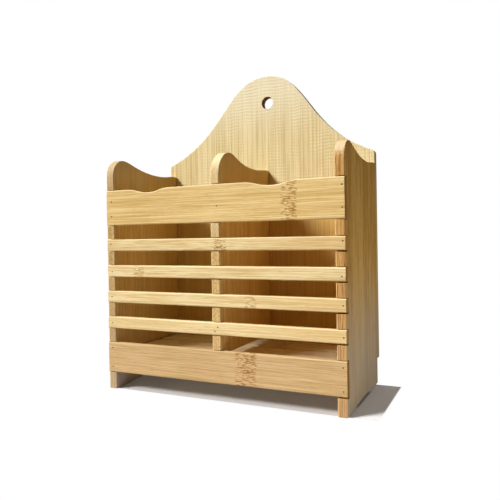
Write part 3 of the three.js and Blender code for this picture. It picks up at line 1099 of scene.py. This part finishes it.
@dataclass
class Carcass:
    """The back board, both side boards and the divider."""

    shop: Workshop
    side_crest_round: float = 14.5 * MM
    divider_crest_round: float = 21.5 * MM
    crest_run: float = 11 * MM
    hollow_height: float = 189.2 * MM
    hollow_depth: float = 69.5 * MM
    hollow_run: float = 32 * MM
    rear_height: float = 191.4 * MM
    rear_run: float = 14 * MM
    arch_height: float = 2 * MM
    pad_length: float = 9 * MM
    notch_slack: float = 0.3 * MM
    groove_gap: float = 0.93 * MM
    groove_overcut: float = 1 * MM
    rail_gap: float = 0.45 * MM
    notch_gaps: dict[str, Span] = field(
        default_factory=lambda: {
            "side_left": (0.3 * MM, 0.3 * MM),
            "divider": (0.6 * MM, 0.5 * MM),
            "side_right": (1.2 * MM, 0.5 * MM),
        }
    )
    shoulder_height: float = 202.4 * MM
    shoulder_round: float = 2.5 * MM
    shoulder_angle: float = 22.0
    shoulder_run: float = 70 * MM
    shoulder_steps: int = 8
    crown_shift: float = 2.9 * MM
    crown_run: float = 41.6 * MM
    hole_radius: float = 5.8 * MM
    hole_shift: float = 4.6 * MM
    hole_drop: float = 25.3 * MM
    hole_sides: int = 64
    back_rounding: float = 0.6 * MM
    steps: int = 24

    def notches(self, upright: str) -> list[Triple]:
        """Give the lower edge, the upper edge and the depth of each notch, bottom first.

        Args:
            upright: The node of the board that is notched.

        Returns:
            The notches in the board's Y and Z.
        """
        found = []
        for name in RAIL_FINISHES:
            low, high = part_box(name)
            below, above = self.notch_gaps[upright]
            if name == "top_rail":
                below = min(below, self.rail_gap)
            found.append((low.z - below, high.z + above, high.y + self.notch_slack))
        return sorted(found)

    def upright_outline(self, name: str) -> list[Vector]:
        """Draw a side board or the divider in Y and Z, notches included.

        Args:
            name: The upright's node.

        Returns:
            The outline, against the clock.
        """
        low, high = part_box(name)
        front, rear, bottom, crest = low.y, high.y, low.z, high.z
        crest_round = self.divider_crest_round if name == "divider" else self.side_crest_round
        points = [at(front, bottom)]
        if name != "divider":
            start, end = at(front + self.pad_length, bottom), at(rear - self.pad_length, bottom)
            lift, third = at(0.0, self.arch_height * 4 / 3), (end - start) / 3
            points += [start, *curve(start, start + third + lift, end - third + lift, end, self.steps)]
        corner = at(rear, self.rear_height)
        hollow = at(front + self.hollow_depth, self.hollow_height)
        brow = at(front + crest_round, crest)
        run, fall, rise = (at(length, 0.0) for length in (self.rear_run, self.hollow_run, self.crest_run))
        points += [at(rear, bottom), corner]
        points += curve(corner, corner - run, hollow + run, hollow, self.steps)
        points += curve(hollow, hollow - fall, brow + rise, brow, self.steps)
        points += arc(brow - at(0.0, crest_round), crest_round, 90.0, 180.0, self.steps)[1:]
        for notch_low, notch_high, depth in reversed(self.notches(name)):
            if notch_high < bottom:
                continue
            points += [at(front, notch_high), at(depth, notch_high)]
            if notch_low > bottom:
                points += [at(depth, notch_low), at(front, notch_low)]
            else:
                points += [at(depth, bottom)]
                points.pop(0)
        return points

    def upright(self, name: str) -> None:
        """Make a side board or the divider.

        Args:
            name: The upright's node.
        """
        low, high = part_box(name)
        ranges = [(notch_low, notch_high) for notch_low, notch_high, _ in self.notches(name)]
        outline = self.upright_outline(name)
        board = Board(f"{name}_board", Facing.SIDE, outline, low.x, high.x, notch_ranges=ranges)
        self.shop.finish(board.make(self.groove(name)), UPRIGHT_FINISHES[name], name)

    def groove(self, name: str) -> list[Shape]:
        """Make the cutter for the groove that holds the floor boards.

        Args:
            name: The upright's node.

        Returns:
            The cutter, or nothing for the divider.
        """
        if name == "divider":
            return []
        board_low, board_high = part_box(name)
        floor_low, floor_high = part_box("floor_board_1")
        slack = self.notch_slack
        front, rear = board_low.y - self.groove_overcut, board_high.y + self.groove_overcut
        low = Vector((floor_low.x - slack, front, floor_low.z - slack))
        high = Vector((floor_high.x + slack, rear, floor_high.z + self.groove_gap))
        shape = bmesh.new()
        place = Matrix.Translation((low + high) / 2) @ Matrix.Diagonal((high - low).to_4d())
        bmesh.ops.create_cube(shape, size=1.0, matrix=place)
        return [shape]

    def shoulder(self, start: Vector, corner: Vector, end: Vector) -> list[Vector]:
        """Round one shoulder of the back board."""
        handles = [(point + corner * 2) / 3 for point in (start, end)]
        return curve(start, *handles, end, self.shoulder_steps)

    def back_outline(self) -> list[Vector]:
        """Draw the back board in X and Z.

        Returns:
            The outline, against the clock.
        """
        low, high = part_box("back_board")
        slope = math.radians(self.shoulder_angle)
        lean, flip = at(-math.cos(slope), math.sin(slope)), at(-1.0, 1.0)
        corner = at(high.x, self.shoulder_height)
        below = corner - at(0.0, self.shoulder_round)
        start = corner + lean * self.shoulder_round
        handle = corner + lean * self.shoulder_run
        top, run = at(self.crown_shift, high.z), at(self.crown_run, 0.0)
        points = [at(-high.x, low.z), at(high.x, low.z), below, *self.shoulder(below, corner, start)]
        points += curve(start, handle, top + run, top, 2 * self.steps)
        points += curve(top, top - run, handle * flip, start * flip, 2 * self.steps)
        return points + self.shoulder(start * flip, corner * flip, below * flip)

    def back(self) -> None:
        """Make the back board with its hanging hole and the holes for its nails."""
        low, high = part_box("back_board")
        outline, rounding = self.back_outline(), self.back_rounding
        board = Board("back_board_panel", Facing.FRONT, outline, low.y, high.y, rounding=rounding)
        hole = Vector((self.hole_shift, (low.y + high.y) / 2, high.z - self.hole_drop))
        cutters = [drill(hole, self.hole_radius, 2 * (high.y - low.y), self.hole_sides)]
        cutters += [nail_hole(name, high.y) for name in nodes("nail_back_")]
        # Painted shade on the wall of the hanging hole
        shade_hole = {"hole_shade_centre": (hole.x / MM, hole.z / MM), "hole_shade_radius": self.hole_radius / MM}
        self.shop.finish(board.make(cutters), replace(BACK_FINISH, **shade_hole), "back_board")

    def build(self) -> None:
        """Make the four boards."""
        self.back()
        for name in UPRIGHT_FINISHES:
            self.upright(name)


@dataclass
class FrontRails:
    """The top rail, the slats and the bottom rail."""

    shop: Workshop
    corner: float = 0.6 * MM
    rounding: float = 1.1 * MM
    end_rounding: float = 0.25 * MM
    scoop_depth: float = 3.1 * MM
    scoops: tuple[Span, ...] = ((48.5 * MM, 49 * MM), (-62.5 * MM, 43 * MM))
    trim: float = 0.35 * MM
    steps: int = 14
    draws: random.Random = field(default_factory=lambda: random.Random(7))

    def outline(self, name: str) -> list[Vector]:
        """Draw a rail in X and Z, its ends trimmed by hand.

        Args:
            name: The rail's node.

        Returns:
            The outline, against the clock.
        """
        low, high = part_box(name)
        left = low.x + self.draws.uniform(0.0, self.trim)
        right = high.x - self.draws.uniform(0.0, self.trim)
        points = [at(left, low.z), at(right, low.z), at(right, high.z)]
        if name == "top_rail":
            for middle, length in self.scoops:
                points += self.scoop(middle, length, high.z)
        return points + [at(left, high.z)]

    def scoop(self, middle: float, length: float, top: float) -> list[Vector]:
        """Draw one shallow scoop from right to left.

        Args:
            middle: The X of its middle.
            length: Its length.
            top: The Z of the rail's top edge.

        Returns:
            Its points.
        """
        right, left = at(middle + length / 2, top), at(middle - length / 2, top)
        low, run = at(middle, top - self.scoop_depth), at(length / 4, 0.0)
        points = [right, *curve(right, right - run, low + run, low, self.steps)]
        return points + curve(low, low - run, left + run, left, self.steps)

    def rail(self, name: str) -> None:
        """Make one rail with the sunk holes of its nails.

        Args:
            name: The rail's node.
        """
        low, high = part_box(name)
        board = Board(
            f"{name}_board", Facing.FRONT, self.outline(name), low.y, high.y,
            rounding=self.rounding, end_rounding=self.end_rounding, corner_rounding=self.corner,
        )
        holes = [nail_hole(nail, low.y) for nail in nodes(f"nail_{name}_")]
        self.shop.finish(board.make(holes), RAIL_FINISHES[name], name)

    def build(self) -> None:
        """Make all the rails."""
        for name in RAIL_FINISHES:
            self.rail(name)


@dataclass
class Floor:
    """The boards of the drained floor."""

    shop: Workshop
    rounding: float = 0.8 * MM

    def build(self) -> None:
        """Make the floor boards."""
        material = self.shop.material(FLOOR_FINISH)
        for name in nodes("floor_board"):
            low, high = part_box(name)
            outline = [at(low.x, low.y), at(high.x, low.y), at(high.x, high.y), at(low.x, high.y)]
            board = Board(f"{name}_plank", Facing.LEVEL, outline, low.z, high.z, rounding=self.rounding)
            dress(board.make(), material, name)


@dataclass
class Nails:
    """The small nails, with their heads just under the wood's face."""

    shop: Workshop
    head_height: float = 0.8 * MM
    dome: float = 0.12 * MM
    dome_bend: Span = (0.6, 0.25)
    tip: float = 2 * MM
    shank_share: float = 0.75
    sides: int = 16
    sharp: float = 45.0
    nearest: float = 0.01 * MM

    def nail(self, name: str) -> Piece:
        """Turn one nail around its axis.

        Args:
            name: The nail's node.

        Returns:
            The nail's object.
        """
        low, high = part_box(name)
        centre, length = (low + high) / 2, high.y - low.y
        head, inward = (high.y, -1.0) if name.startswith("nail_back_") else (low.y, 1.0)
        radius, shank = NAIL_HEAD, NAIL_HEAD * self.shank_share
        profile = [
            (0.0, 0.0), (self.dome_bend[0] * radius, self.dome_bend[1] * self.dome), (radius, self.dome),
            (radius, self.head_height), (shank, self.head_height + self.dome),
            (shank, length - self.tip), (0.0, length),
        ]
        shape = bmesh.new()
        verts = [shape.verts.new((centre.x + out, head + inward * along, centre.z)) for out, along in profile]
        edges = [shape.edges.new(pair) for pair in zip(verts, verts[1:])]
        bmesh.ops.spin(
            shape, geom=verts + edges, cent=(centre.x, head, centre.z), axis=(0.0, 1.0, 0.0),
            angle=math.tau, steps=self.sides, use_merge=True, use_duplicate=False,
        )
        bmesh.ops.remove_doubles(shape, verts=shape.verts, dist=self.nearest)
        bmesh.ops.recalc_face_normals(shape, faces=shape.faces)
        made = add_object(f"{name}_pin", shape)
        smooth(made.data, self.sharp)
        return made

    def build(self) -> None:
        """Make every nail."""
        for name in nodes("nail_"):
            dress(self.nail(name), self.shop.nail, name)


@dataclass(frozen=True)
class Lamp:
    """A lamp, turned towards the rack.

    The spread is a distant lamp's angle in degrees, or the side of a square panel.
    """

    name: str
    kind: LampKind
    origin: Triple
    strength: float
    spread: float
    colour: Triple = (1.0, 1.0, 1.0)

    def build(self) -> None:
        """Add the lamp."""
        data = bpy.data.lights.new(self.name, self.kind.value)
        data.energy, data.color = self.strength, self.colour
        if self.kind is LampKind.DISTANT:
            data.angle = math.radians(self.spread)
        else:
            data.shape, data.size = "SQUARE", self.spread
        made = link(self.name, data)
        made.location = self.origin
        made.rotation_euler = Vector(self.origin).to_track_quat("Z", "Y").to_euler()


LAMPS = (
    Lamp("key_lamp", LampKind.DISTANT, (-1.06, -1.0, 1.16), 4.5, 19.0),
    Lamp("rear_lamp", LampKind.DISTANT, (-0.45, 1.0, 0.12), 0.8, 8.0, (1.0, 0.84, 0.62)),
    Lamp("fill_lamp", LampKind.PANEL, (0.3, 0.02, 0.02), 0.24, 0.2, (0.85, 0.92, 1.0)),
)


@dataclass
class Studio:
    """The pale shelf, the white surroundings and the lamps."""

    shelf_size: float = 3.0
    shelf_shade: Colour = (0.9, 0.9, 0.9, 1.0)
    shelf_roughness: float = 0.9
    contact_shade: Colour = (0.28, 0.2, 0.14, 1.0)
    contact_reach: Span = (-22 * MM, 12 * MM)
    contact_side: float = 1 * MM
    contact_end: float = 10 * MM
    under_shade: Colour = (0.57, 0.545, 0.53, 1.0)
    shadow_low: Span = (-104.5 * MM, -51 * MM)
    shadow_high: Span = (125 * MM, 40 * MM)
    shadow_edge: float = 1.5 * MM
    shadow_lift: float = 0.04
    bounce_rear: float = 24 * MM
    near_bounce: Colour = (0.6, 0.6, 0.62, 1.0)
    far_bounce: Colour = (0.22, 0.17, 0.11, 1.0)
    near_reach: Span = (60 * MM, 220 * MM)
    sky_strength: float = 0.062
    sky_colour: Colour = (1.0, 0.69, 0.4, 1.0)

    def shelf(self) -> None:
        """Make the shelf, which shows white to the camera away from the rack."""
        shape = bmesh.new()
        bmesh.ops.create_grid(shape, x_segments=1, y_segments=1, size=self.shelf_size)
        plane = add_object("shelf", shape)
        material, graph = new_material("white_shelf")
        place = graph.split(graph.node("TexCoord").outputs["Object"])
        camera = graph.node("LightPath").outputs["Is Camera Ray"]
        low, high = CAD_BOX
        away = graph.reach(
            graph.beyond(place["X"], low[0], high[0]), graph.beyond(place["Y"], low[1], self.bounce_rear)
        )
        bounce = graph.mix(graph.step(away, *self.near_reach), self.near_bounce, self.far_bounce)
        ranges = zip("XY", self.shadow_low, self.shadow_high)
        past = graph.most(*(graph.beyond(place[axis], near, far) for axis, near, far in ranges))
        open_shelf = graph.step(past, 0.0, self.shadow_edge)
        foot_low, foot_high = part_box("side_right")
        side = self.contact_side
        beside = graph.step(graph.beyond(place["X"], foot_low.x, foot_high.x), side, 0.0)
        behind = graph.step(graph.beyond(place["Y"], *self.contact_reach), self.contact_end, 0.0)
        outside = graph.step(place["X"], foot_low.x - side, foot_low.x)
        pale = graph.mix(outside, self.under_shade, self.shelf_shade)
        pale = graph.mix(graph.times(beside, behind), pale, self.contact_shade)
        surface = graph.node("BsdfPrincipled", {
            "Base Color": graph.mix(camera, bounce, pale),
            "Roughness": self.shelf_roughness,
            "Specular IOR Level": 0.0,
        })
        white = graph.node("Emission", {"Color": WHITE, "Strength": 1.0})
        seen = graph.times(camera, graph.most(open_shelf, self.shadow_lift))
        mixed = graph.node("MixShader", {0: seen, 1: surface.outputs[0], 2: white.outputs[0]})
        graph.node("OutputMaterial", {"Surface": mixed.outputs[0]})
        plane.data.materials.append(material)

    def sky(self) -> None:
        """Light the scene evenly and show white behind it."""
        world = bpy.data.worlds.new("white_room")
        world.use_nodes = True
        graph = Graph(world.node_tree)
        path = graph.node("LightPath").outputs
        seen = graph.most(*(path[f"Is {ray} Ray"] for ray in ("Camera", "Glossy", "Transmission")))
        soft = graph.node("Background", {"Color": self.sky_colour, "Strength": self.sky_strength})
        white = graph.node("Background", {"Color": WHITE, "Strength": 1.0})
        mixed = graph.node("MixShader", {0: seen, 1: soft.outputs[0], 2: white.outputs[0]})
        graph.node("OutputWorld", {"Surface": mixed.outputs[0]})
        bpy.context.scene.world = world

    def build(self) -> None:
        """Set up the shelf and the light."""
        self.shelf()
        self.sky()
        for lamp in LAMPS:
            lamp.build()
        bpy.context.scene.view_settings.view_transform = "Standard"


@dataclass
class Viewpoint:
    """The camera, placed (mm) and turned (degrees) as the one that took the photograph."""

    place: Triple = (203.83, -425.82, 128.22)
    turns: Triple = (89.747, 0.913, 25.075)
    sensor: float = 36.0
    lens: float = 38.879
    shift_x: float = 0.003
    shift_y: float = -0.0199
    nearest: float = 10 * MM

    def build(self) -> None:
        """Make the camera and use it."""
        camera = bpy.data.cameras.new("view")
        camera.sensor_width = self.sensor
        camera.lens = self.lens
        camera.shift_x, camera.shift_y = self.shift_x, self.shift_y
        camera.clip_start = self.nearest
        made = link("view", camera)
        made.location = Vector(self.place) * MM
        made.rotation_euler = [math.radians(angle) for angle in self.turns]
        bpy.context.scene.camera = made


def main() -> None:
    """Build the rack, its finishes, the light and the camera."""
    logging.basicConfig(level=logging.INFO, format="%(name)s: %(message)s")
    Viewpoint().build()
    shop = Workshop()
    Carcass(shop).build()
    FrontRails(shop).build()
    Floor(shop).build()
    Nails(shop).build()
    Studio().build()


if __name__ == "__main__":
    main()
